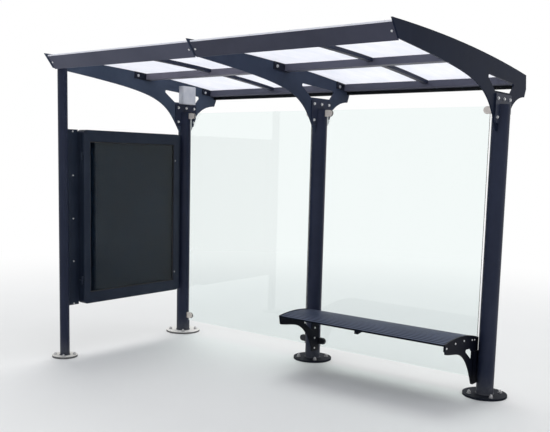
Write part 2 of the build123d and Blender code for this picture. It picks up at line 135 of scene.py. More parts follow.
def settle():
    """Writes the place, turn and size of what is selected into its mesh."""
    bpy.ops.object.transform_apply(location=True, rotation=True, scale=True)


def done(piece, name):
    """Back to object mode, with the piece's place in its mesh."""
    bpy.ops.object.mode_set(mode="OBJECT")
    settle()
    piece.name = piece.data.name = name
    return piece


def apply_modifier(piece, kind, **settings):
    modifier = piece.modifiers.new(kind.lower(), kind)
    for key, value in settings.items():
        setattr(modifier, key, value)
    bpy.ops.object.modifier_apply(modifier=modifier.name)


# %% [markdown]
# ## Where things are
# The frame answers with boxes, so we ask it for the places that carry our pieces instead of
# typing them twice. The three rafters give the planes in which most bolts sit.

# %% Places taken from the frame
def centre(node):
    low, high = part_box(node)
    return (low + high) / 2


def across(node):
    """A node's size along X."""
    low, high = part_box(node)
    return high.x - low.x


SIDES = ("left", "middle", "right")
post_at = {side: centre("rear_post_" + side) for side in SIDES}
front_at = centre("front_post")
row_y = post_at["left"].y
end_x = post_at["right"].x
plate = across("rafter_left")
post_radius = across("rear_post_left") / 2
front_radius = across("front_post") / 2
flange_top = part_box("base_flange_left")[1].z
print("plate thickness", round(plate, 4), "rear posts stand at y", round(row_y, 4))

# %% [markdown]
# ## Copies, each with its own mesh
# One good bolt is worth modelling once. A copy goes to each place, turned so that its own +Z
# looks out of the surface, and twisted a little further than its neighbour, because no fitter
# lines up the flats. The copies are then joined, and their places end up in the mesh.

# %% Place copies of a master
def join(name, *parts):
    """Makes one piece of the parts, with their places in its mesh."""
    take_up(*parts)
    settle()
    if len(parts) > 1:
        bpy.ops.object.join()
    parts[0].name = parts[0].data.name = name
    return parts[0]


def place_copies(master, name, spots, twist=37):
    """Sets a copy at each (point, direction), twisted by so many degrees more than the last."""
    copies = []
    for index, (point, aim) in enumerate(spots):
        copy = master.copy()
        copy.data = master.data.copy()
        bpy.context.collection.objects.link(copy)
        turn = Vector((0, 0, 1)).rotation_difference(Vector(aim)).to_matrix().to_4x4()
        spin = Matrix.Rotation(math.radians(index * twist), 4, "Z")
        copy.matrix_world = Matrix.Translation(Vector(point)) @ turn @ spin
        copies.append(copy)
    return join(name, *copies)


def discard(*masters):
    for master in masters:
        bpy.data.objects.remove(master)


made = []


def hand_over(piece, body, material, smooth=32):
    """Gives a finished piece its finish, and hangs it on a body of the frame."""
    take_up(piece)
    bpy.ops.object.shade_smooth_by_angle(angle=math.radians(smooth))
    piece.data.materials.clear()
    piece.data.materials.append(material)
    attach(piece, body)
    made.append(piece)
    print(piece.name, "has", len(piece.data.polygons), "faces")


# %% [markdown]
# ## Shared effects for the finishes
# Real paint is never one flat colour. Three effects come back in nearly every finish here, so
# each is built once as a node group with named sockets: a fine powder-coat grain, a film of
# pale dust that settles on whatever looks up and thickens near the ground, and faint vertical
# rain marks. All of them read object coordinates, so they stay put when a part moves.

# %% Helpers for node trees
def feed(tree, socket, value):
    """Sets a socket to a number or a colour, or links another node's output to it."""
    if isinstance(value, (int, float)):
        socket.default_value = value
    elif isinstance(value, tuple):
        socket.default_value = (*value, 1.0)
    else:
        tree.links.new(value, socket)


def feed_all(tree, node, **values):
    """Feeds the sockets that are named, with _ in place of a space."""
    for label, value in values.items():
        feed(tree, node.inputs[label.replace("_", " ")], value)


def new_node(tree, kind, **values):
    node = tree.nodes.new("ShaderNode" + kind)
    feed_all(tree, node, **values)
    return node


def new_group(name, inputs, outputs):
    """Starts a node group of numbers. The inputs are names with values, the outputs names."""
    tree = bpy.data.node_groups.new(name, "ShaderNodeTree")
    for label, value in inputs.items():
        socket = tree.interface.new_socket(label, in_out="INPUT", socket_type="NodeSocketFloat")
        socket.default_value = value
    for label in outputs:
        tree.interface.new_socket(label, in_out="OUTPUT", socket_type="NodeSocketFloat")
    return tree, tree.nodes.new("NodeGroupInput").outputs, tree.nodes.new("NodeGroupOutput")


def use_group(tree, group, **values):
    node = tree.nodes.new("ShaderNodeGroup")
    node.node_tree = group
    feed_all(tree, node, **values)
    return node


def math_node(tree, operation, *values, clamp=False):
    node = tree.nodes.new("ShaderNodeMath")
    node.operation = operation
    node.use_clamp = clamp
    for socket, value in zip(node.inputs, values):
        feed(tree, socket, value)
    return node.outputs[0]


def times(tree, a, b, clamp=False):
    return math_node(tree, "MULTIPLY", a, b, clamp=clamp)


def noise_node(tree, vector, scale, detail, roughness=0.55):
    node = new_node(tree, "TexNoise", Vector=vector, Scale=scale, Detail=detail, Roughness=roughness)
    return node.outputs[0]


def ramp_node(tree, value, low, high, out_low=0.0, out_high=1.0):
    node = new_node(tree, "MapRange", Value=value, From_Min=low, From_Max=high, To_Min=out_low,
                    To_Max=out_high)
    return node.outputs[0]


def object_vector(tree):
    return tree.nodes.new("ShaderNodeTexCoord").outputs["Object"]


def scaled_vector(tree, vector, scale):
    node = new_node(tree, "Mapping", Vector=vector)
    node.inputs["Scale"].default_value = scale
    return node.outputs[0]


def split(tree, vector):
    """The X, Y and Z of a vector, as outputs by those names."""
    return new_node(tree, "SeparateXYZ", Vector=vector).outputs


def normal_parts(tree):
    """The X, Y and Z of the way that the surface faces."""
    return split(tree, tree.nodes.new("ShaderNodeNewGeometry").outputs["Normal"])


def mix_colour(tree, factor, a, b):
    node = tree.nodes.new("ShaderNodeMix")
    node.data_type = "RGBA"
    for index, value in ((0, factor), (6, a), (7, b)):
        feed(tree, node.inputs[index], value)
    return node.outputs[2]


def mix_shader(tree, factor, a, b):
    node = tree.nodes.new("ShaderNodeMixShader")
    for socket, value in zip(node.inputs, (factor, a, b)):
        feed(tree, socket, value)
    return node.outputs[0]


def show(tree, shader, output="Material Output"):
    tree.links.new(shader, tree.nodes[output].inputs["Surface"])


# %% [markdown]
# **Powder-coat grain.** A sprayed and baked powder coat keeps a fine orange peel. Up close it
# shows as small, soft bumps a few millimetres apart; from afar it only spreads the highlights
# and makes the colour drift a little from place to place.

# %% Group: powder-coat grain
tree, given, result = new_group(
    "powder coat grain", {"Grain Scale": 260.0, "Drift Scale": 2.5}, ("Height", "Drift"))
where = object_vector(tree)
feed_all(tree, result, Height=noise_node(tree, where, given["Grain Scale"], 2.0),
         Drift=noise_node(tree, where, given["Drift Scale"], 5.0, 0.6))
grain_group = tree

# %% [markdown]
# **Settled dust.** Road dust lies on faces that look up, and splashes dirty the lowest hand's
# breadth of every post. The mask takes the upward part of the surface normal, adds a band near
# the floor, and is broken up by two sizes of noise so that no edge of it is straight.

# %% Group: settled dust
tree, given, result = new_group(
    "settled dust", {"On Top": 0.6, "Near Ground": 0.5, "Overall": 0.06, "Band Height": 0.22}, ("Dust",))
where = object_vector(tree)
clouds = noise_node(tree, where, 9.0, 6.0, 0.65)
specks = noise_node(tree, where, 70.0, 3.0, 0.7)
speckled = ramp_node(tree, math_node(tree, "MULTIPLY_ADD", specks, 0.45, 0.5), 0.55, 0.95, 0.35, 1.0)
patchy = times(tree, ramp_node(tree, clouds, 0.32, 0.68, 0.35, 1.0), speckled)
looks_up = ramp_node(tree, normal_parts(tree)["Z"], 0.35, 0.95)
on_top = times(tree, looks_up, given["On Top"])
height = math_node(tree, "DIVIDE", split(tree, where)["Z"], given["Band Height"])
near = math_node(tree, "SUBTRACT", 1.0, height, clamp=True)
in_band = times(tree, times(tree, near, near), given["Near Ground"])
total = math_node(tree, "ADD", math_node(tree, "ADD", on_top, in_band), given["Overall"])
feed_all(tree, result, Dust=times(tree, total, patchy, clamp=True))
dust_group = tree

# %% [markdown]
# **Rain marks.** Water that runs down a painted plate leaves long pale streaks a few
# centimetres apart. Noise that is squeezed along Z makes them: it changes quickly sideways and
# slowly downwards. On dark paint a little goes a long way, so the marks stay faint.

# %% Group: rain marks
tree, given, result = new_group("rain marks", {"Strength": 0.3, "Width": 14.0}, ("Marks",))
stretched = scaled_vector(tree, object_vector(tree), (1.0, 1.0, 0.06))
streaks = ramp_node(tree, noise_node(tree, stretched, given["Width"], 5.0, 0.7), 0.5, 0.78)
feed_all(tree, result, Marks=times(tree, streaks, given["Strength"], clamp=True))
rain_group = tree
print("node groups:", [group.name for group in bpy.data.node_groups])

# %% [markdown]
# ## One recipe for painted metal
# Posts, rafters, purlins and the display case are all coated metal. They differ in colour,
# gloss and in how much dust they carry, so one function builds the material and the call for
# each finish names its own values.

# %% A painted-metal recipe
def new_material(name):
    material = bpy.data.materials.new(name)
    material.use_nodes = True
    tree = material.node_tree
    return material, tree, tree.nodes["Principled BSDF"]


def bump(tree, shader, height, strength, distance):
    node = new_node(tree, "Bump", Height=height, Strength=strength, Distance=distance)
    tree.links.new(node.outputs["Normal"], shader.inputs["Normal"])


DUST = (0.40, 0.39, 0.36)
GRIME = (0.11, 0.11, 0.115)
DRIFT_ROUGH, DUST_ROUGH = 0.16, 0.4


def painted_metal(name, colour, light, roughness=0.42, on_top=0.12, near_ground=0.35, overall=0.006,
                  marks=0.05, band=0.22, metallic=0.0, gloss=0.14):
    """Paint between two tones, with rain marks and dust over it."""
    material, tree, shader = new_material(name)
    grain = use_group(tree, grain_group)
    film = use_group(tree, dust_group, On_Top=on_top, Near_Ground=near_ground, Overall=overall,
                     Band_Height=band)
    rain = use_group(tree, rain_group, Strength=marks)
    base = mix_colour(tree, ramp_node(tree, grain.outputs["Drift"], 0.35, 0.65), colour, light)
    streaked = mix_colour(tree, rain.outputs["Marks"], base, GRIME)
    dusty = mix_colour(tree, film.outputs["Dust"], streaked, DUST)
    least_rough = roughness - DRIFT_ROUGH / 2
    worn = math_node(tree, "MULTIPLY_ADD", grain.outputs["Drift"], DRIFT_ROUGH, least_rough)
    rough = math_node(tree, "MULTIPLY_ADD", film.outputs["Dust"], DUST_ROUGH, worn)
    feed_all(tree, shader, Base_Color=dusty, Roughness=rough, Metallic=metallic, Specular_IOR_Level=gloss)
    bump(tree, shader, grain.outputs["Height"], 0.25, 0.0006)
    return material


# %% [markdown]
# ## The painted finishes
# Anthracite with a blue cast covers the frame. The three rafters carry that one paint, but each
# has its own tone for the light that falls on it: the left one is the palest, painted light, and
# the right one the darkest, painted shade. The purlins and the folded fascia are a step paler
# still, which is painted light, on the purlins from light through the roof; the left fascia is
# painted lit and the right one shaded. The gutter and the bench's end plates are nearly black,
# and on the gutter that is partly painted shade. The base flanges lie on a dusty pavement, and
# the two on the left, painted as sunlit, are almost as pale as it is.

# %% Painted finishes
frame_paint = painted_metal("frame_paint", (0.012, 0.017, 0.038), (0.019, 0.025, 0.050))
# Painted light and shade: one rafter paint in three tones, palest on the left where most light falls,
# darkest on the right.
RAFTER_LIGHT_AND_SHADE = {"left": ((0.048, 0.063, 0.098), (0.063, 0.081, 0.123)),
                "middle": ((0.031, 0.041, 0.069), (0.042, 0.054, 0.088)),
                "right": ((0.006, 0.010, 0.024), (0.010, 0.015, 0.033))}
rafter_lit_and_shaded = {side: painted_metal("rafter_lit_and_shaded_" + side, *tones, marks=0.03, gloss=0.035)
                for side, tones in RAFTER_LIGHT_AND_SHADE.items()}
# Painted light and shade: one fascia paint, paler on the left and darker on the right.
fascia_left = painted_metal("fascia_left_lit_paint", (0.064, 0.069, 0.104), (0.082, 0.087, 0.126))
fascia_right = painted_metal("fascia_right_shaded_paint", (0.042, 0.045, 0.070), (0.054, 0.057, 0.087))
# Painted light: the purlins are paler than the frame for the light that comes through the roof, and the
# second, paler copy is the most sunlit.
purlin_paint = painted_metal("purlin_paint", (0.082, 0.086, 0.122), (0.104, 0.107, 0.146))
purlin_sunlit = painted_metal("purlin_sunlit", (0.130, 0.128, 0.165), (0.165, 0.160, 0.205))
case_paint = painted_metal("case_paint", (0.012, 0.018, 0.034), (0.018, 0.026, 0.044), 0.38)
# Partly painted shade: the gutter is nearly black, darker than the frame paint.
gutter_paint_and_shade = painted_metal("gutter_paint_and_shade", (0.004, 0.006, 0.009), (0.007, 0.010, 0.014), 0.5)
plate_black = painted_metal("plate_black", (0.002, 0.003, 0.007), (0.005, 0.006, 0.012), 0.45,
                            overall=0.0, marks=0.02, gloss=0.05)
panel_black = painted_metal("panel_black", (0.005, 0.010, 0.018), (0.009, 0.016, 0.027), 0.6,
                            marks=0.02, gloss=0.02)
# Painted sunlight and shade: the front and left flanges are paler, as sunlit, and the others dark, as
# shaded.
dusty_sunlit_flange = painted_metal("dusty_sunlit_flange", (0.070, 0.072, 0.080), (0.110, 0.110, 0.115), 0.6,
                             on_top=1.5, near_ground=0.25, overall=0.12, band=0.1)
chalky_sunlit_flange = painted_metal("chalky_sunlit_flange", (0.060, 0.060, 0.065), (0.120, 0.120, 0.120), 0.65,
                              on_top=1.0, near_ground=0.25, overall=0.12, band=0.1)
shaded_flange = painted_metal("shaded_flange", (0.004, 0.006, 0.013), (0.011, 0.014, 0.023), 0.6,
                              on_top=0.04, near_ground=0.02, overall=0.01, band=0.1, gloss=0.03)
print("painted finishes:", len(bpy.data.materials))

# %% [markdown]
# Some of these finishes change along a part. The two flanges on the left lie under a crust of
# pale dust and painted sunlight on their tops, but their rims stay dark. Every purlin ends in
# plates that are welded on and lie in shade, so within a plate's thickness of a rafter its colour
# turns dark: painted shade. The planes of the rafters are known, so the distance to the nearest
# one is plain arithmetic on the object's X.

# %% Dusty, sunlit flanges, and painted shade at the purlins' ends
END_PLATE, PLATE_BLEND, PLATE_SHADE = 0.008, 0.0006, (0.012, 0.015, 0.028)
SUNLIT_CRUSTS = ((chalky_sunlit_flange, (0.78, 0.77, 0.74)), (dusty_sunlit_flange, (0.60, 0.59, 0.56)))


def paint_over(material, mask, colour):
    """Lays one more colour over a finish, where the mask is 1."""
    tree = material.node_tree
    base = tree.nodes["Principled BSDF"].inputs["Base Color"]
    tree.links.new(mix_colour(tree, mask, base.links[0].from_socket, colour), base)


# The pale crust on the tops is dust and painted sunlight together.
for flange, dust_and_sun_colour in SUNLIT_CRUSTS:
    crust = use_group(flange.node_tree, dust_group, On_Top=4.0, Near_Ground=0.0, Overall=0.0)
    paint_over(flange, crust.outputs["Dust"], dust_and_sun_colour)

plate_edge = plate / 2 + END_PLATE
for finish in (purlin_paint, purlin_sunlit):
    tree = finish.node_tree
    from_middle = math_node(tree, "ABSOLUTE", split(tree, object_vector(tree))["X"])
    from_end = math_node(tree, "ABSOLUTE", math_node(tree, "SUBTRACT", from_middle, end_x))
    nearest = math_node(tree, "MINIMUM", from_middle, from_end)
    # Painted shade: within a plate's thickness of a rafter the purlin turns dark.
    plate_shade_mask = ramp_node(tree, nearest, plate_edge, plate_edge + PLATE_BLEND, 1.0, 0.0)
    paint_over(finish, plate_shade_mask, PLATE_SHADE)
print("end plates are dark up to", round(plate_edge, 4), "from a rafter's plane")

# %% [markdown]
# The seat's coat is paler than the frame's, with a little metal in it, and its blue cast is
# partly a painted reflection of the sky. The gaps between the slats lie in shade, so painted
# shade darkens each slat along its edges and on its sides, and the gaps read as dark lines. The
# sides are found by their normal. The edges are found by a triangle wave: the distance to the
# nearest gap repeats from slat to slat.

# %% Seat finish
SLATS, SLAT_GAP, SLAT_EDGE_SHADE = 18, 0.0055, 0.0062
# Partly painted reflection: the seat's coat has a blue cast for the sky.
seat_coat = painted_metal("seat_coat", (0.046, 0.058, 0.104), (0.070, 0.085, 0.142), 0.42, on_top=0.04,
                          near_ground=0.0, overall=0.01, marks=0.0, metallic=0.12, gloss=0.03)
seat_low, seat_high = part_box("bench_slats")
slat_pitch = (seat_high.y - seat_low.y + SLAT_GAP) / SLATS
first_gap = seat_low.y - SLAT_GAP / 2
tree = seat_coat.node_tree
past_gap = math_node(tree, "SUBTRACT", split(tree, object_vector(tree))["Y"], first_gap)
from_gap = math_node(tree, "PINGPONG", past_gap, slat_pitch / 2)
shade_along_edge = ramp_node(tree, from_gap, SLAT_GAP / 2, SLAT_EDGE_SHADE, 1.0, 0.0)
shade_on_side = ramp_node(tree, math_node(tree, "ABSOLUTE", normal_parts(tree)["Z"]), 0.3, 0.8, 1.0, 0.0)
# Painted shade along the slats' edges and on their sides, where the gaps are.
paint_over(seat_coat, math_node(tree, "MAXIMUM", shade_along_edge, shade_on_side), (0.005, 0.007, 0.012))
print("slat pitch", round(slat_pitch, 4))

# %% [markdown]
# ## Steel, rubber and moulded plastic
# The bolts are stainless and turned or rolled, so their highlights run in fine rings; a noise
# with a high scale stands in for the tool marks. The anchor nuts are zinc-plated and a little
# duller. The clamps that grip the glass are satin steel, coloured nearly as sand, and the lower
# ones beside the bench are painted nearly black for the shade that the bench casts.

# %% Steel finishes
def steel(name, colour, light, roughness, dull, metallic=1.0):
    material, tree, shader = new_material(name)
    where = object_vector(tree)
    tool_marks = noise_node(tree, scaled_vector(tree, where, (1.0, 1.0, 7.0)), 420.0, 2.0)
    stains = noise_node(tree, where, 38.0, 5.0, 0.65)
    film = use_group(tree, dust_group, On_Top=dull, Near_Ground=dull, Overall=dull * 0.5)
    base = mix_colour(tree, ramp_node(tree, stains, 0.35, 0.7), colour, light)
    dusty = mix_colour(tree, film.outputs["Dust"], base, DUST)
    rough = math_node(tree, "MULTIPLY_ADD", stains, 0.22, roughness - 0.08)
    feed_all(tree, shader, Base_Color=dusty, Roughness=rough, Metallic=metallic)
    bump(tree, shader, tool_marks, 0.2, 0.0003)
    return material


bright_steel = steel("bright_steel", (0.58, 0.59, 0.61), (0.74, 0.745, 0.76), 0.26, 0.1)
anchor_zinc = steel("anchor_zinc", (0.38, 0.38, 0.395), (0.62, 0.62, 0.63), 0.34, 0.08, 0.8)
clamp_steel = steel("clamp_steel", (0.66, 0.61, 0.565), (0.82, 0.765, 0.72), 0.42, 0.15, 0.3)
tree = clamp_steel.node_tree
place = split(tree, object_vector(tree))
low_down = ramp_node(tree, place["Z"], 0.4, 1.2, 1.0, 0.0)
in_bench_shade = ramp_node(tree, place["X"], -0.9, -0.5)
# Painted shade: low down and beside the bench the clamps turn nearly black.
paint_over(clamp_steel, times(tree, low_down, in_bench_shade), (0.016, 0.018, 0.024))

# %% [markdown]
# Rubber is matt and nearly black, with a bloom of grey where it has dried. The junction box is
# moulded in a pale technical plastic: slightly warm where the sun has aged it, with the very
# fine spark texture that such moulds have.

# %% Rubber and plastic finishes
rubber, tree, shader = new_material("rubber")
bloom = noise_node(tree, object_vector(tree), 60.0, 5.0, 0.7)
dried = mix_colour(tree, ramp_node(tree, bloom, 0.4, 0.75), (0.010, 0.010, 0.011), (0.045, 0.045, 0.046))
feed_all(tree, shader, Base_Color=dried, Roughness=ramp_node(tree, bloom, 0.3, 0.8, 0.62, 0.85))
bump(tree, shader, bloom, 0.2, 0.0004)

box_plastic, tree, shader = new_material("box_plastic")
where = object_vector(tree)
spark = noise_node(tree, where, 900.0, 2.0)
aged = noise_node(tree, where, 14.0, 5.0, 0.6)
film = use_group(tree, dust_group, On_Top=0.7, Near_Ground=0.0, Overall=0.06)
pale = mix_colour(tree, ramp_node(tree, aged, 0.35, 0.7), (0.50, 0.52, 0.58), (0.60, 0.61, 0.65))
dusty = mix_colour(tree, film.outputs["Dust"], pale, (0.34, 0.33, 0.30))
feed_all(tree, shader, Base_Color=dusty, Roughness=ramp_node(tree, aged, 0.2, 0.8, 0.42, 0.6))
bump(tree, shader, spark, 0.15, 0.0002)

# %% [markdown]
# ## Opal roof sheets
# The roof is twin-wall sheet: two thin skins with upright webs between them, about a centimetre
# apart, running down the slope. Daylight comes through it softly, so from below it glows nearly
# white and the webs show as faint lines. Most of the surface is a Translucent shader, which
# passes light on to the other side and scatters it. The lamps have to reach the lower skin past
# the upper one, so for shadow rays the sheet is a dimmed Transparent. A sine wave across X gives
# the webs, and a little grime lies along the top.

# %% Roof sheet finish
WEB_PITCH, WEB_SHADE, GLOW_SHARE = 0.0105, 0.22, 0.72


def clear_for_shadows(tree, shader, tint):
    """For shadow rays alone, a Transparent of this tint takes the shader's place."""
    rays = new_node(tree, "LightPath")
    clear = new_node(tree, "BsdfTransparent", Color=tint)
    return mix_shader(tree, rays.outputs["Is Shadow Ray"], shader, clear.outputs[0])


roof_opal, tree, shader = new_material("roof_opal")
where = object_vector(tree)
phase = times(tree, split(tree, where)["X"], 2 * math.pi / WEB_PITCH)
webs = ramp_node(tree, math_node(tree, "SINE", phase), 0.80, 1.0)
grime = noise_node(tree, scaled_vector(tree, where, (3.0, 0.8, 1.0)), 5.0, 6.0, 0.65)
film = use_group(tree, dust_group, On_Top=0.22, Near_Ground=0.0, Overall=0.0)
clean = mix_colour(tree, ramp_node(tree, grime, 0.35, 0.7), (0.80, 0.815, 0.865), (0.88, 0.885, 0.92))
webbed = mix_colour(tree, times(tree, webs, WEB_SHADE), clean, (0.62, 0.64, 0.70))
skin = mix_colour(tree, film.outputs["Dust"], webbed, (0.50, 0.49, 0.45))
feed_all(tree, shader, Base_Color=skin, Roughness=ramp_node(tree, grime, 0.3, 0.8, 0.40, 0.58), IOR=1.4)
bump(tree, shader, webs, 0.12, 0.0004)
glow = new_node(tree, "BsdfTranslucent", Color=skin)
opal = mix_shader(tree, GLOW_SHARE, shader.outputs[0], glow.outputs[0])
show(tree, clear_for_shadows(tree, opal, (0.80, 0.80, 0.80)))
print("webs in a sheet of", round(across("roof_sheets_left_front"), 3), "m:",
      round(across("roof_sheets_left_front") / WEB_PITCH))

# %% [markdown]
# ## Glass
# A clear pane is mostly what stands behind it, plus a reflection, plus a green cast that only
# the edges show well. Real refraction needs no trick for that. Its shadow does: a path tracer
# finds hardly any light through glass, so for shadow rays alone the pane is a Transparent
# shader, as the roof is. Dried drops and dust make a few places slightly rough.

# %% Glass finishes
def glass(name, tint, smear, spotted, veiled, ior=1.45, gloss=0.5):
    """Clear glass of a tint, with so much of the smear's colour in drops and in a veil."""
    material, tree, shader = new_material(name)
    where = object_vector(tree)
    drops = noise_node(tree, where, 55.0, 3.0, 0.7)
    wash = noise_node(tree, scaled_vector(tree, where, (1.0, 1.0, 0.35)), 4.0, 6.0, 0.65)
    spots = times(tree, ramp_node(tree, drops, 0.66, 0.74), spotted)
    veil = times(tree, ramp_node(tree, wash, 0.45, 0.8), veiled)
    dirty = math_node(tree, "ADD", spots, veil, clamp=True)
    feed_all(tree, shader, Base_Color=mix_colour(tree, dirty, tint, smear),
             Roughness=ramp_node(tree, dirty, 0.0, 1.0, 0.01, 0.5), Transmission_Weight=1.0,
             IOR=ior, Specular_IOR_Level=gloss)
    show(tree, clear_for_shadows(tree, shader.outputs[0], tint))
    return material


pane_glass = glass("pane_glass", (0.90, 0.955, 0.945), (0.80, 0.85, 0.84), 0.25, 0.05)
door_glass = glass("door_glass", (0.70, 0.82, 0.92), (0.40, 0.47, 0.55), 0.20, 0.02, ior=1.25, gloss=0.0)

# %% [markdown]
# ## Finishes for the frame's own parts
# The frame's parts keep their shape and only change their finish. A table says which finish
# goes to the names that begin with a given word. The first line that fits counts, so the longer
# beginnings come first, and a part that no line names gets frame paint.

# %% Paint the frame
FINISHES = {
    **{"rafter_" + side: paint for side, paint in rafter_lit_and_shaded.items()},
    "fascia_left": fascia_left, "fascia_right": fascia_right,
    "mid_purlin_left": purlin_sunlit, "mid_purlin": purlin_paint, "rear_purlin": purlin_paint,
    "rear_gutter": gutter_paint_and_shade,
    "case_door_glass": door_glass, "case_back_panel": panel_black,
    "case_": case_paint,
    "base_flange_left": chalky_sunlit_flange, "base_flange_front": dusty_sunlit_flange, "base_flange": shaded_flange,
    "bench_slats": seat_coat, "bench_bracket": plate_black, "bench_cleats": plate_black,
    "roof_sheets": roof_opal, "rear_glass": pane_glass, "glass_clamps": clamp_steel,
    "junction_box": box_plastic,
}
for name, node in nodes.items():
    finish = next((paint for start, paint in FINISHES.items() if name.startswith(start)), frame_paint)
    node.data.materials.clear()
    node.data.materials.append(finish)
print("painted", len(nodes), "parts of the frame")

# %% [markdown]
# ## A hexagon bolt on its washer
# Each bolt is a washer with a softened rim and a six-sided head. The head starts as a six-sided
# cylinder. Its upright edges are softened, and its top is inset and raised a little, which makes
# the cone that catches light at the corners of a real head.

# %% Model the hexagon bolt
WASHER_SPREAD, WASHER_THICK, WASHER_RIM = 0.68, 0.11, 0.3


def disc(radius, thick, sides=24, base=0.0):
    """A disc that stands on base, in edit mode, with its top picked."""
    piece = begin(bpy.ops.mesh.primitive_cylinder_add, vertices=sides, radius=radius, depth=thick,
                  location=(0, 0, base + thick / 2))
    edit()
    pick(piece, facing_up)
    return piece


def soften(width, steps=2):
    """Bevels the edges of what is picked."""
    bpy.ops.mesh.bevel(offset=width, segments=steps, affect="EDGES")


def soft_disc(name, radius, thick, rim, sides=24):
    piece = disc(radius, thick, sides)
    soften(rim)
    return done(piece, name)


def washer(radius, thick, sides=28):
    return soft_disc("washer", radius, thick, thick * WASHER_RIM, sides)


def hexagon(flats, height, base):
    """A nut or bolt head that stands on base, with its top corners turned off."""
    piece = disc(flats / math.sqrt(3), height, 6, base)
    pick(piece, lambda face: abs(face.normal.z) < 0.1)
    soften(flats * 0.03, 1)
    pick(piece, facing_up)
    inset(flats * 0.09, flats * 0.05)
    inset(flats * 0.06)
    return done(piece, "hexagon")


def hex_bolt(flats, head):
    """Its washer is sized by the width across flats, as the head is."""
    thick = flats * WASHER_THICK
    return join("hex bolt", washer(flats * WASHER_SPREAD, thick), hexagon(flats, head, thick))


# %% [markdown]
# ## A dome-headed screw
# The sheet-metal parts are held by low, round heads. A cylinder gets a wide, many-stepped bevel
# on its top rim for the dome. The socket for the key is so small that a round hole stands for
# it: an inset face that is pushed down.

# %% Model the dome screw
def dome_screw(radius, height):
    piece = disc(radius, height)
    soften(min(radius * 0.5, height * 0.85), 4)
    pick(piece, lambda face: facing_up(face) and face.calc_center_median().z > height * 0.98)
    inset(radius * 0.08)
    push(-height * 0.55)
    return done(piece, "dome screw")


# %% [markdown]
# ## Bolts in the rafter heads
# Each rafter is bolted through its head cleat: three bolts in a row above the post and one
# through each leg. The heads are on the side that faces the camera, and the nuts with a short
# end of thread are on the far side.

# %% Bolt the rafter heads
HEAD_ROW = [(-0.100, 2.065), (0.0, 2.065), (0.100, 2.065), (-0.100, 1.940), (0.100, 1.940)]
M10_FLATS, M10_HEAD, M10_NUT, M10_PITCH, M10_SHOWS = 0.017, 0.0064, 0.008, 0.0015, 0.005
THREAD_ROOT, TIP_SHARE = 0.9, 0.8


def stud_end(radius, length, base, pitch):
    """A threaded end: each turn is a step out and a step in of the top face."""
    piece = disc(radius * THREAD_ROOT, base, 20)
    for _ in range(round(length / pitch)):
        push(pitch / 2)
        resize(1 / THREAD_ROOT, 1 / THREAD_ROOT)
        push(pitch / 2)
        resize(THREAD_ROOT, THREAD_ROOT)
    push(radius * 0.12)
    resize(TIP_SHARE, TIP_SHARE)
    return done(piece, "stud end")


def fasten(master, name, spots, twist=37, body="shelter", finish=bright_steel):
    """Sets one fastener at all its spots, and hands the row over as one piece."""
    hand_over(place_copies(master, name, spots, twist), body, finish)


bolt = hex_bolt(M10_FLATS, M10_HEAD)
under_nut = M10_FLATS * WASHER_THICK
nut = join("nut", washer(M10_FLATS * WASHER_SPREAD, under_nut), hexagon(M10_FLATS, M10_NUT, under_nut),
           stud_end(0.005, M10_SHOWS, under_nut + M10_NUT, M10_PITCH))
for side in SIDES:
    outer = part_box("head_cleat_" + side)[1].x
    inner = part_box("rafter_" + side)[0].x
    fasten(bolt, "head_bolts_" + side, [((outer, row_y + y, z), (1, 0, 0)) for y, z in HEAD_ROW])
    fasten(nut, "head_nuts_" + side, [((inner, row_y + y, z), (-1, 0, 0)) for y, z in HEAD_ROW], 23)

# %% [markdown]
# ## Bolts at the purlin ends
# Every purlin carries a plate at each end, and one bolt pulls each plate against its rafter.
# The heads sit on the plates' inner faces, in the tongue in front of the tube.

# %% Bolt the purlin ends
PURLIN_BOLTS = {"mid": (-0.580, 2.303), "rear": (0.252, 2.224)}
spots = []
for bay in ("left", "right"):
    for row, (y, z) in PURLIN_BOLTS.items():
        low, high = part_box(f"{row}_purlin_{bay}")
        spots += [((low.x + END_PLATE, row_y + y, z), (1, 0, 0)),
                  ((high.x - END_PLATE, row_y + y, z), (-1, 0, 0))]
fasten(bolt, "purlin_bolts", spots)
discard(bolt, nut)

# %% [markdown]
# ## Screws through the fascia
# The inclined front sheet is screwed to a small cleat on each side of a rafter tip. The sheet
# leans, so the screws' direction is worked out from two points of the tip's edge.

# %% Screw on the fascia
TIP_TOP, TIP_LOW = Vector((0, -1.515, 2.380)), Vector((0, -1.436, 2.280))
FASCIA_BEHIND, SCREW_ALONG, SCREW_BESIDE = 0.006, 0.043, 0.028
along = (TIP_TOP - TIP_LOW).normalized()
outward = Vector((0, -along.z, along.y))
screw_point = TIP_LOW + along * SCREW_ALONG - outward * FASCIA_BEHIND + Vector((0, row_y, 0))
across_fascia = [post_at[side].x + beside for side in SIDES for beside in (-SCREW_BESIDE, SCREW_BESIDE)]
spots = [(screw_point + Vector((x, 0, 0)), outward) for x in across_fascia if abs(x) < end_x]
screw = dome_screw(0.0075, 0.0048)
fasten(screw, "fascia_screws", spots)

# %% [markdown]
# ## Screws through the roof sheets
# The sheets lie on the fascia's lip, the purlins and the seam bars, and are held from above by
# round-headed screws, each on a washer that seals the hole. To set them on the curved roof we
# drop a ray on the sheet: it returns the point that it hits and the way the surface faces there.

# %% Screw down the roof
SEAL_THICK, ABOVE_ROOF = 0.0018, 3.0
ROOF_ROWS = {"front": (-1.467, -0.475), "rear": (-0.445, 0.345)}
SEAM_ROWS = {"front": (-1.250, -0.970, -0.700), "rear": (-0.220, 0.000, 0.200)}
ACROSS_SHEET, BESIDE_SEAM = (0.06, 0.35, 0.64, 0.92), 0.011


def lift(piece, height):
    piece.data.transform(Matrix.Translation((0, 0, height)))


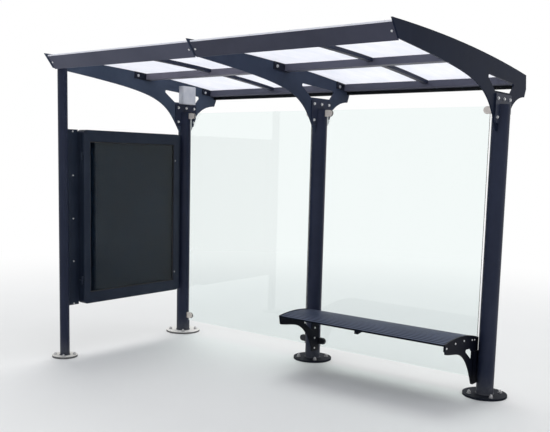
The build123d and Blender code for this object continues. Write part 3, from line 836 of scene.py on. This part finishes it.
head = dome_screw(0.0052, 0.0038)
lift(head, SEAL_THICK)
roof_screw = join("roof screw", washer(0.0085, SEAL_THICK, 20), head)
spots = []
for bay in ("left", "right"):
    for row in ("front", "rear"):
        sheets = nodes[f"roof_sheets_{bay}_{row}"]
        low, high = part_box(sheets.name)
        seam, half = (low.x + high.x) / 2, (high.x - low.x) / 2
        places = [(seam + way * half * share, y)
                  for y in ROOF_ROWS[row] for way in (-1, 1) for share in ACROSS_SHEET]
        places += [(seam + way * BESIDE_SEAM, y) for y in SEAM_ROWS[row] for way in (-1, 1)]
        for x, y in places:
            start = Vector((x, row_y + y, ABOVE_ROOF))
            found, point, normal, _ = sheets.ray_cast(start, Vector((0, 0, -1)))
            if found:
                spots.append((point, normal))
fasten(roof_screw, "roof_screws", spots)
discard(roof_screw)
print("roof screws:", len(spots))

# %% [markdown]
# ## Screws along the display case
# The case hangs between two posts on flat strips. Five evenly spaced screws run down each
# strip, halfway between post and case.

# %% Screw on the case strips
FIRST_SCREW, SCREW_STEP, STRIP_SCREWS = 0.425, 0.345, 5
case_low, case_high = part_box("case_body")
strip_low, strip_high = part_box("case_strips")
front_strip_y = (front_at.y + front_radius + case_low.y) / 2 + 0.001
rear_strip_y = (row_y - post_radius + case_high.y) / 2
spots = [((strip_high.x, y, FIRST_SCREW + SCREW_STEP * step), (1, 0, 0))
         for y in (front_strip_y, rear_strip_y) for step in range(STRIP_SCREWS)]
fasten(screw, "case_strip_screws", spots)
print("strip screws at y", round(front_strip_y - row_y, 4), round(rear_strip_y - row_y, 4))

# %% [markdown]
# ## Bolts on the bench
# Each end plate of the bench takes five screws into the bar under the slats' ends, and three
# more that hold it to the post's cleat, one above the other. The upper screws go in from
# outside and the leg screws from the seat's side.

# %% Bolt the bench
SLAT_SCREWS = [(-0.524, 0.417), (-0.392, 0.428), (-0.258, 0.425), (-0.126, 0.410), (-0.084, 0.405)]
LEG_SCREWS = [(-0.078, 0.280), (-0.078, 0.196), (-0.078, 0.113)]
left_plate, right_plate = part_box("bench_bracket_left"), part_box("bench_bracket_right")
BENCH_ROWS = ((left_plate[0].x, -1, SLAT_SCREWS), (right_plate[1].x, 1, SLAT_SCREWS),
              (left_plate[1].x, 1, LEG_SCREWS), (right_plate[0].x, -1, LEG_SCREWS))
spots = [((x, row_y + y, z), (way, 0, 0)) for x, way, row in BENCH_ROWS for y, z in row]
fasten(screw, "bench_screws", spots)
discard(screw)

# %% [markdown]
# ## Anchor studs
# Four studs cast into the pavement come up through each base flange. Each carries a washer and
# a nut, and a stub of thread stands above it. They are modelled from the flange's underside up,
# so that the hole is filled as on the real one.

# %% Model and place the anchors
ANCHOR_WASHER, ANCHOR_SPREAD, STUD_IN_HOLE, STUD_FOOT, STUD_PITCH = 0.0025, 0.64, 0.88, 0.001, 0.002
REAR_CIRCLE, FRONT_CIRCLE = 0.115, 0.075


def anchor(hole, flats, nut_height, stub):
    """A stud with its washer and nut, as they stand in and on a flange."""
    to_nut_top = flange_top + ANCHOR_WASHER + nut_height - STUD_FOOT
    stud = stud_end(hole * STUD_IN_HOLE, stub, to_nut_top, STUD_PITCH)
    lift(stud, STUD_FOOT)
    parts = [washer(flats * ANCHOR_SPREAD, ANCHOR_WASHER), hexagon(flats, nut_height, ANCHOR_WASHER)]
    for part in parts:
        lift(part, flange_top)
    return join("anchor", *parts, stud)


def circle_spots(middle, radius):
    """Four places on a circle, at 45 degrees to the rows of posts."""
    return [((middle.x + radius * math.cos(a), middle.y + radius * math.sin(a), 0), (0, 0, 1))
            for a in (math.radians(45 + 90 * quarter) for quarter in range(4))]


big, small = anchor(0.009, 0.024, 0.012, 0.008), anchor(0.007, 0.019, 0.010, 0.006)
for side in SIDES:
    fasten(big, "anchors_" + side, circle_spots(post_at[side], REAR_CIRCLE), finish=anchor_zinc)
fasten(small, "anchors_front", circle_spots(front_at, FRONT_CIRCLE), finish=anchor_zinc)
discard(big, small)

# %% [markdown]
# ## Weld beads
# The posts are welded to their flanges all the way round. A torus is the start; a cloud
# texture then pushes its skin in and out a little, which reads as the ripple that a welder's
# hand leaves, and the paint covers it all.

# %% Weld the post feet
FEET = {**{side: (post_at[side], post_radius) for side in SIDES}, "front": (front_at, front_radius)}


def ripple(piece, size, strength):
    clouds = bpy.data.textures.new("weld ripple", "CLOUDS")
    clouds.noise_scale = size
    apply_modifier(piece, "DISPLACE", texture=clouds, strength=strength, mid_level=0.5)


def weld_bead(name, middle, radius, leg=0.005):
    piece = begin(bpy.ops.mesh.primitive_torus_add, major_radius=radius + leg * 0.25,
                  minor_radius=leg * 0.75, major_segments=120, minor_segments=10,
                  location=(middle.x, middle.y, flange_top + leg * 0.2))
    done(piece, name)
    ripple(piece, 0.007, 0.0022)
    return piece


for foot, (middle, radius) in FEET.items():
    bead = weld_bead("foot_weld_" + foot, middle, radius)
    hand_over(bead, "shelter", frame_paint, smooth=60)

# %% [markdown]
# Straight seams are welded the same way: the head cleats' fins to the posts, in one run, and the
# case's strips in short stitches. A thin upright cylinder is cut into many rings, its ends are
# drawn in, and the same cloud texture ripples it.

# %% Weld the fins and the strips
RING_STEP, END_SHARE = 0.004, 0.4
STITCH, STITCH_STEP, FIRST_STITCH, STITCHES = 0.035, 0.250, 0.02, 6


def weld_line(x, y, low, high, leg=0.004):
    piece = begin(bpy.ops.mesh.primitive_cylinder_add, vertices=10, radius=leg * 0.7, depth=high - low,
                  location=(x, y, (low + high) / 2))
    edit()
    pick_edges(piece, 2, 0.001)
    bpy.ops.mesh.subdivide(number_cuts=round((high - low) / RING_STEP))
    pick(piece, lambda face: abs(face.normal.z) > 0.9)
    resize(END_SHARE, END_SHARE)
    done(piece, "weld line")
    ripple(piece, 0.005, 0.0018)
    return piece


def flank(radius, off):
    """How far out a post's round flank stands at a distance beside its middle plane."""
    return math.sqrt(radius ** 2 - off ** 2)


seams = []
for side in SIDES:
    cleat_low, cleat_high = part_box("head_cleat_" + side)
    out = flank(post_radius, cleat_high.x - post_at[side].x)
    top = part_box("rear_post_" + side)[1].z
    seams += [weld_line(cleat_high.x, row_y + way * out, cleat_low.z, top) for way in (-1, 1)]
starts = [strip_low.z + FIRST_STITCH + STITCH_STEP * count for count in range(STITCHES)]
for middle, radius, way in ((front_at, front_radius, 1), (post_at["left"], post_radius, -1)):
    for x in (strip_low.x, strip_high.x):
        y = middle.y + way * flank(radius, x - middle.x)
        seams += [weld_line(x, y, start, start + STITCH) for start in starts]
hand_over(join("seam_welds", *seams), "shelter", frame_paint, smooth=60)

# %% [markdown]
# ## The junction box
# On the left rafter sits a pale box with a lid. The frame holds a plain block for it; here it
# is modelled as moulders make it: a base, a shadow gap, and a lid whose rim is rounded, with a
# slotted screw in each corner. We start from one cube, stretched to the base's size, and round
# its four long edges. Its end is then stepped in for the gap, and out again for the lid.

# %% Model the junction box
LID, GAP, GAP_IN, BOX_CORNER, LID_RIM = 0.017, 0.0015, 0.002, 0.008, 0.004
box_low, box_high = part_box("junction_box")
size = box_high - box_low
base_x = size.x - LID - GAP


def block(middle, size):
    """A cube stretched to a size around its middle."""
    piece = begin(bpy.ops.mesh.primitive_cube_add, size=1, location=middle)
    piece.scale = size
    settle()
    return piece


junction = block((box_low.x + base_x / 2, *centre("junction_box").yz), (base_x, *size.yz))
edit()
pick_edges(junction, 0, 0.01)
soften(BOX_CORNER, 5)
pick(junction, lambda face: face.normal.x > 0.99)
inset(GAP_IN)
push(0, x=GAP)
push(0)
resize(1, size.y / (size.y - 2 * GAP_IN), size.z / (size.z - 2 * GAP_IN))
push(0, x=LID)
soften(LID_RIM, 3)
pick_all()
bpy.ops.mesh.remove_doubles(threshold=0.00001)
bpy.ops.mesh.normals_make_consistent(inside=False)
done(junction, "junction_box_moulded")

# %% [markdown]
# The lid screws are plastic too: a low round head with one straight slot. The slot is a thin
# block that is cut away with a Boolean, and four copies go to the corners.

# %% Lid screws
LID_SCREW_R, LID_SCREW_H, SMALL_RIM, CORNER_IN, SUNK = 0.0065, 0.0016, 0.0006, 0.014, 0.0007


def cut_away(piece, cutter):
    """Takes the cutter's shape out of a piece with a Boolean, and discards the cutter."""
    take_up(piece)
    apply_modifier(piece, "BOOLEAN", object=cutter, operation="DIFFERENCE", solver="EXACT")
    discard(cutter)


cap = soft_disc("lid screw", LID_SCREW_R, LID_SCREW_H, SMALL_RIM)
cut_away(cap, block((0, 0, 0.0015), (0.02, 0.0014, 0.002)))
spots = [((box_high.x - SUNK, y, z), (1, 0, 0))
         for y in (box_low.y + CORNER_IN, box_high.y - CORNER_IN)
         for z in (box_low.z + CORNER_IN, box_high.z - CORNER_IN)]
lid_screws = place_copies(cap, "lid_screws", spots, twist=50)
discard(cap)
junction = join("junction_box_moulded", junction, lid_screws)
hand_over(junction, "shelter", box_plastic, smooth=40)
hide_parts("junction_box")

# %% [markdown]
# ## The display case's door
# The door's glass is bedded in a black gasket, which shows as a thin dark line around the pane.
# It is one closed ring: a flat sheet as large as the opening, an inset that marks the ring's
# inner edge, the middle deleted, and what is left given a rounded thickness.

# %% Model the door gasket
STILE, RAIL, GASKET_W, GASKET_H, GASKET_ROUND = 0.064, 0.092, 0.007, 0.005, 0.0015
leaf_low, leaf_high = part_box("case_door_frame")
glass_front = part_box("case_door_glass")[1].x
open_y = (leaf_low.y + STILE, leaf_high.y - STILE)
open_z = (leaf_low.z + RAIL, leaf_high.z - RAIL)
gasket = begin(bpy.ops.mesh.primitive_plane_add, size=1, rotation=(0, math.radians(90), 0),
               location=(glass_front, sum(open_y) / 2, sum(open_z) / 2))
gasket.scale = (open_z[1] - open_z[0], open_y[1] - open_y[0], 1)
settle()
edit()
pick_all()
inset(GASKET_W)
bpy.ops.mesh.delete(type="FACE")
pick_all()
push(0, x=GASKET_H)
pick_all()
bpy.ops.mesh.normals_make_consistent(inside=False)
done(gasket, "door_gasket")
apply_modifier(gasket, "BEVEL", width=GASKET_ROUND, segments=2, limit_method="ANGLE")
hand_over(gasket, "case_door", rubber, smooth=50)

# %% [markdown]
# Two cam locks sit in the slots of the rear stile. Each is a short barrel with a bevelled rim
# and a triangular key recess, which a three-sided prism cuts out.

# %% Model the locks
LOCK_IN, LOCK_DEEP, LOCK_Z = 0.047, 0.004, (0.590, 1.590)
BARREL_R, BARREL_H, KEY_R, KEY_H, KEY_BASE = 0.0052, 0.0034, 0.003, 0.004, 0.002
barrel = soft_disc("barrel", BARREL_R, BARREL_H, SMALL_RIM)
cut_away(barrel, done(disc(KEY_R, KEY_H, 3, KEY_BASE), "key shape"))
spots = [((leaf_high.x - LOCK_DEEP, leaf_high.y - LOCK_IN, z), (1, 0, 0)) for z in LOCK_Z]
fasten(barrel, "case_locks", spots, body="case_door")
discard(barrel)

# %% [markdown]
# ## Gaskets and screws of the glass clamps
# A clamp never touches the glass with its metal: a round rubber pad lies between its jaws. From
# the front it shows as a dark rim around the clamp's round nose. One round-headed screw per
# clamp, sunk into its back, draws the two jaws together. A clamp stands on each side of a post
# where there is a pane, so the end posts have them on one side only.

# %% Clamp gaskets and screws
CLAMP_Z, BESIDE_POST, SCREW_SUNK = (0.160, 1.995), 0.2, 0.0022
CLAMP_REACH, CLAMP_H, CLAMP_T, PANE_T, PAD_PROUD = 0.063, 0.050, 0.026, 0.010, 0.0015
pad = begin(bpy.ops.mesh.primitive_cylinder_add, vertices=40, radius=CLAMP_H / 2 + PAD_PROUD,
            depth=PANE_T + 2 * PAD_PROUD, location=(0, 0, 0), rotation=(math.radians(90), 0, 0))
settle()
edit()
pick(pad, lambda face: abs(face.normal.y) > 0.9)
soften(SMALL_RIM)
done(pad, "pad")
spots, screw_spots = [], []
for side in SIDES:
    x = post_at[side].x
    for way in (-1, 1):
        if abs(x + way * BESIDE_POST) < end_x:
            nose = x + way * (post_radius + CLAMP_REACH - CLAMP_H / 2)
            spots += [((nose, row_y, z), (0, 0, 1)) for z in CLAMP_Z]
            screw_spots += [((nose, row_y + CLAMP_T / 2 - SCREW_SUNK, z), (0, 1, 0)) for z in CLAMP_Z]
hand_over(place_copies(pad, "clamp_gaskets", spots, twist=0), "shelter", rubber)
screw = dome_screw(0.0062, 0.0030)
fasten(screw, "clamp_screws", screw_spots)
discard(pad, screw)

# %% [markdown]
# ## Floor and light
# The shelter stands on a plain pale floor. Nearby it takes light and shadow as any floor does.
# Further out it turns into the white of the backdrop, so that no horizon is seen behind the
# glass. The change depends on the distance from the shelter alone, and only rays that come from
# the camera, a mirror or a pane of glass see it: as a lamp, the far floor adds nothing.

# %% Floor
FLOOR_SIZE, NEAR_FLOOR, FAR_FLOOR = 80, 2.6, 8.0


def seen_directly(tree):
    """1 for rays from the camera, a mirror or a pane, 0 for rays that carry light."""
    rays = new_node(tree, "LightPath").outputs
    direct = math_node(tree, "MAXIMUM", rays["Is Camera Ray"], rays["Is Glossy Ray"])
    return math_node(tree, "MAXIMUM", direct, rays["Is Transmission Ray"])


floor = begin(bpy.ops.mesh.primitive_plane_add, size=FLOOR_SIZE, location=(0, 0, 0))
floor.name = "floor"
floor_material, tree, shader = new_material("floor")
where = object_vector(tree)
paving = mix_colour(tree, noise_node(tree, where, 0.8, 3.0), (0.74, 0.74, 0.735), (0.78, 0.78, 0.775))
feed_all(tree, shader, Base_Color=paving, Roughness=0.9, Specular_IOR_Level=0.2)
reach = tree.nodes.new("ShaderNodeVectorMath")
reach.operation = "LENGTH"
tree.links.new(where, reach.inputs[0])
fade = ramp_node(tree, reach.outputs["Value"], NEAR_FLOOR, FAR_FLOOR)
fade.node.interpolation_type = "SMOOTHSTEP"
backdrop = new_node(tree, "Emission", Strength=1.0)
far_and_seen = times(tree, fade, seen_directly(tree))
show(tree, mix_shader(tree, far_and_seen, shader.outputs[0], backdrop.outputs[0]))
floor.data.materials.append(floor_material)

# %% [markdown]
# The sky is one even, slightly cool world. It is white where the camera, a mirror or a pane
# sees it, and a quieter grey as a lamp. A sun with a very wide disc stands high behind the
# shelter's left end. It makes the opal sheets glow, gives the posts soft shadows, and has no
# fall-off, so the floor stays even.

# %% World
world = bpy.data.worlds.new("studio")
bpy.context.scene.world = world
world.use_nodes = True
tree = world.node_tree
lamp_sky = tree.nodes["Background"]
feed_all(tree, lamp_sky, Color=(0.93, 0.96, 1.0), Strength=0.72)
white_sky = new_node(tree, "Background", Color=(1.0, 1.0, 1.0))
show(tree, mix_shader(tree, seen_directly(tree), lamp_sky.outputs[0], white_sky.outputs[0]), "World Output")

# %% Soft sun
SUN_FROM, SUN_STRENGTH, SUN_DISC = Vector((-0.55, 0.75, 1.9)), 1.5, 35
sun_data = bpy.data.lights.new("sun", "SUN")
sun_data.energy = SUN_STRENGTH
sun_data.angle = math.radians(SUN_DISC)
sun_data.color = (1.0, 0.985, 0.96)
sun = bpy.data.objects.new("sun", sun_data)
bpy.context.collection.objects.link(sun)
sun.rotation_euler = (-SUN_FROM).to_track_quat("-Z", "Y").to_euler()
print("sun disc", SUN_DISC, "degrees")

# %% [markdown]
# The camera stands where the photographer stood: at eye height on the street side, to the right
# of the shelter, looking slightly down, and held a degree and a half out of level. The lens is
# a normal one, and the picture was trimmed at the bottom, which a small shift repeats.

# %% Camera
IMAGE_W, IMAGE_H = 550, 432
FOCAL_PX, MIDDLE_PX = 787.32, (270.65, 259.14)
EYE = Vector((3.6607, -5.2175 + row_y, 1.6252))
YAW, PITCH, ROLL = 0.66903, 0.12627, 0.02411
ahead = Vector((-math.sin(YAW) * math.cos(PITCH), math.cos(YAW) * math.cos(PITCH), -math.sin(PITCH)))
level = Vector((math.cos(YAW), math.sin(YAW), 0))
upright = level.cross(ahead)
right = level * math.cos(ROLL) + upright * math.sin(ROLL)
above = upright * math.cos(ROLL) - level * math.sin(ROLL)
camera_data = bpy.data.cameras.new("camera")
camera_data.sensor_fit, camera_data.sensor_width = "HORIZONTAL", 36.0
camera_data.lens = FOCAL_PX * camera_data.sensor_width / IMAGE_W
camera_data.shift_x = (IMAGE_W / 2 - MIDDLE_PX[0]) / IMAGE_W
camera_data.shift_y = (MIDDLE_PX[1] - IMAGE_H / 2) / IMAGE_W
camera = bpy.data.objects.new("camera", camera_data)
bpy.context.collection.objects.link(camera)
camera.matrix_world = Matrix.Translation(EYE) @ Matrix((right, above, -ahead)).transposed().to_4x4()
bpy.context.scene.camera = camera
bpy.context.scene.view_settings.view_transform = "Standard"
print("lens", round(camera_data.lens, 2), "mm")

# %% [markdown]
# ## Count what was added
# The pieces that were added, and their triangles, are counted.

# %% Finish
bpy.context.view_layer.update()
triangles = sum(len(face.vertices) - 2 for piece in made for face in piece.data.polygons)
print("pieces added:", len(made), "triangles:", triangles)
